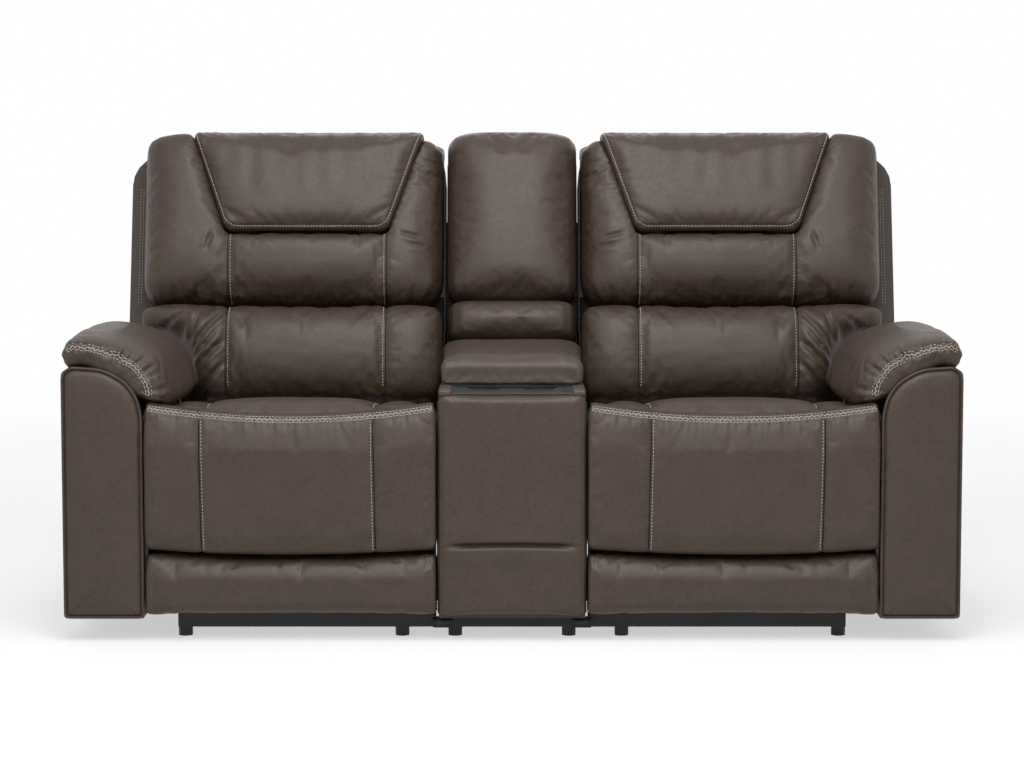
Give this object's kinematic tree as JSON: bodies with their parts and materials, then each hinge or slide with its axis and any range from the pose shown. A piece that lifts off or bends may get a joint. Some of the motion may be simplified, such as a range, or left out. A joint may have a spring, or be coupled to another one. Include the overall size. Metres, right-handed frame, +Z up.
{
  "type": "power reclining loveseat",
  "caption": "Leather power reclining loveseat with gliding reclining seats, folding footrests, tilting headrests and a lidded console with cup wells.",
  "frame": {"origin": "on the floor under the middle of the loveseat, with the backs upright and the footrests closed", "axes": "+X to the right as seen from the front, +Y to the back, +Z up"},
  "size_m": [1.931, 1.0021, 1.0836],
  "materials": {
    "leather": "semi-matt brown-grey leather",
    "leather_dark": "matt brown-grey leather",
    "steel": "black powder coat",
    "zinc": "zinc plated",
    "wood": "plain plywood",
    "plastic": "matt black"
  },
  "bodies": {
    "sofa_frame": {"right_base_frame": "steel", "right_arm_body": "leather", "right_arm_front_panel": "leather", "right_arm_pad": "leather", "right_switch_panel": "plastic", "left_base_frame": "steel", "left_arm_body": "leather", "left_arm_front_panel": "leather", "left_arm_pad": "leather", "left_switch_panel": "plastic", "console_base": "steel", "console_body": "leather", "console_front_pad": "leather", "console_bin": "plastic", "console_tray": "plastic", "console_back_shell": "leather_dark", "console_back_pad_upper": "leather", "console_back_roll": "leather", "lid_hinge_pin": "zinc", "power_supply": "plastic"},
    "right_seat": {"right_seat_frame": "steel", "right_seat_cushion": "leather", "right_power_actuator": "plastic"},
    "right_back": {"right_back_frame": "wood", "right_back_shell": "leather_dark", "right_back_cushion": "leather", "right_lumbar_cushion": "leather", "right_headrest_motor": "plastic"},
    "right_headrest": {"right_headrest_frame": "steel", "right_headrest_pad": "leather"},
    "right_footrest": {"right_footrest_tray": "steel", "right_footrest_pad_upper": "leather", "right_footrest_pad_lower": "leather"},
    "right_crank": {"right_torque_tube": "zinc"},
    "right_links": {"right_inner_footrest_link": "zinc", "right_outer_footrest_link": "zinc"},
    "right_block": {"right_actuator_block": "plastic"},
    "right_recline_rocker": {"right_recline_rocker": "plastic"},
    "right_headrest_rocker": {"right_headrest_rocker": "plastic"},
    "left_seat": {"left_seat_frame": "steel", "left_seat_cushion": "leather", "left_power_actuator": "plastic"},
    "left_back": {"left_back_frame": "wood", "left_back_shell": "leather_dark", "left_back_cushion": "leather", "left_lumbar_cushion": "leather", "left_headrest_motor": "plastic"},
    "left_headrest": {"left_headrest_frame": "steel", "left_headrest_pad": "leather"},
    "left_footrest": {"left_footrest_tray": "steel", "left_footrest_pad_upper": "leather", "left_footrest_pad_lower": "leather"},
    "left_crank": {"left_torque_tube": "zinc"},
    "left_links": {"left_inner_footrest_link": "zinc", "left_outer_footrest_link": "zinc"},
    "left_block": {"left_actuator_block": "plastic"},
    "left_recline_rocker": {"left_recline_rocker": "plastic"},
    "left_headrest_rocker": {"left_headrest_rocker": "plastic"},
    "console_lid": {"console_lid_board": "plastic", "console_lid_pad": "leather"}
  },
  "joints": [
    {"name": "right_seat_glide", "type": "slide", "parent": "sofa_frame", "child": "right_seat", "axis": [0, -1, 0], "range_m": [0, 0.11]},
    {"name": "right_back_recline", "type": "hinge", "parent": "right_seat", "child": "right_back", "pos_m": [0.4725, 0.15, 0.4], "axis": [-1, 0, 0], "range_deg": [0, 40]},
    {"name": "right_headrest_tilt", "type": "hinge", "parent": "right_back", "child": "right_headrest", "pos_m": [0.48, 0.18612, 0.88432], "axis": [1, 0, 0], "range_deg": [0, 25]},
    {"name": "right_footrest_open", "type": "hinge", "parent": "right_seat", "child": "right_footrest", "pos_m": [0.4725, -0.46, 0.475], "axis": [-1, 0, 0], "range_deg": [0, 85]},
    {"name": "right_crank_turn", "type": "hinge", "parent": "right_seat", "child": "right_crank", "pos_m": [0.4725, -0.3, 0.275], "axis": [-1, 0, 0], "range_deg": [0, 85]},
    {"name": "right_link_turn", "type": "hinge", "parent": "right_crank", "child": "right_links", "pos_m": [0.4725, -0.245, 0.145], "axis": [-1, 0, 0], "range_deg": [-85, 0]},
    {"name": "right_block_travel", "type": "slide", "parent": "right_seat", "child": "right_block", "axis": [0, -1, 0], "range_m": [0, 0.11912]},
    {"name": "right_recline_rocker_tip", "type": "hinge", "parent": "sofa_frame", "child": "right_recline_rocker", "pos_m": [0.9555, -0.287, 0.5], "axis": [0, 0, 1], "range_deg": [-6, 6], "stiffness_Nm_per_rad": 0.05},
    {"name": "right_headrest_rocker_tip", "type": "hinge", "parent": "sofa_frame", "child": "right_headrest_rocker", "pos_m": [0.9555, -0.253, 0.5], "axis": [0, 0, 1], "range_deg": [-6, 6], "stiffness_Nm_per_rad": 0.05},
    {"name": "left_seat_glide", "type": "slide", "parent": "sofa_frame", "child": "left_seat", "axis": [0, -1, 0], "range_m": [0, 0.11]},
    {"name": "left_back_recline", "type": "hinge", "parent": "left_seat", "child": "left_back", "pos_m": [-0.4725, 0.15, 0.4], "axis": [-1, 0, 0], "range_deg": [0, 40]},
    {"name": "left_headrest_tilt", "type": "hinge", "parent": "left_back", "child": "left_headrest", "pos_m": [-0.48, 0.18612, 0.88432], "axis": [1, 0, 0], "range_deg": [0, 25]},
    {"name": "left_footrest_open", "type": "hinge", "parent": "left_seat", "child": "left_footrest", "pos_m": [-0.4725, -0.46, 0.475], "axis": [-1, 0, 0], "range_deg": [0, 85]},
    {"name": "left_crank_turn", "type": "hinge", "parent": "left_seat", "child": "left_crank", "pos_m": [-0.4725, -0.3, 0.275], "axis": [-1, 0, 0], "range_deg": [0, 85]},
    {"name": "left_link_turn", "type": "hinge", "parent": "left_crank", "child": "left_links", "pos_m": [-0.4725, -0.245, 0.145], "axis": [-1, 0, 0], "range_deg": [-85, 0]},
    {"name": "left_block_travel", "type": "slide", "parent": "left_seat", "child": "left_block", "axis": [0, -1, 0], "range_m": [0, 0.11912]},
    {"name": "left_recline_rocker_tip", "type": "hinge", "parent": "sofa_frame", "child": "left_recline_rocker", "pos_m": [-0.9555, -0.287, 0.5], "axis": [0, 0, 1], "range_deg": [-6, 6], "stiffness_Nm_per_rad": 0.05},
    {"name": "left_headrest_rocker_tip", "type": "hinge", "parent": "sofa_frame", "child": "left_headrest_rocker", "pos_m": [-0.9555, -0.253, 0.5], "axis": [0, 0, 1], "range_deg": [-6, 6], "stiffness_Nm_per_rad": 0.05},
    {"name": "console_lid_open", "type": "hinge", "parent": "sofa_frame", "child": "console_lid", "pos_m": [0, 0.03, 0.585], "axis": [-1, 0, 0], "range_deg": [0, 75]}
  ],
  "couplings": [
    {"joint": "right_back_recline", "follows": "right_seat_glide", "rad_per_m": 6.3466},
    {"joint": "right_crank_turn", "follows": "right_footrest_open", "ratio": 1},
    {"joint": "right_link_turn", "follows": "right_footrest_open", "ratio": -1},
    {"joint": "right_block_travel", "follows": "right_footrest_open", "m_per_rad": 0.080296},
    {"joint": "left_back_recline", "follows": "left_seat_glide", "rad_per_m": 6.3466},
    {"joint": "left_crank_turn", "follows": "left_footrest_open", "ratio": 1},
    {"joint": "left_link_turn", "follows": "left_footrest_open", "ratio": -1},
    {"joint": "left_block_travel", "follows": "left_footrest_open", "m_per_rad": 0.080296}
  ]
}
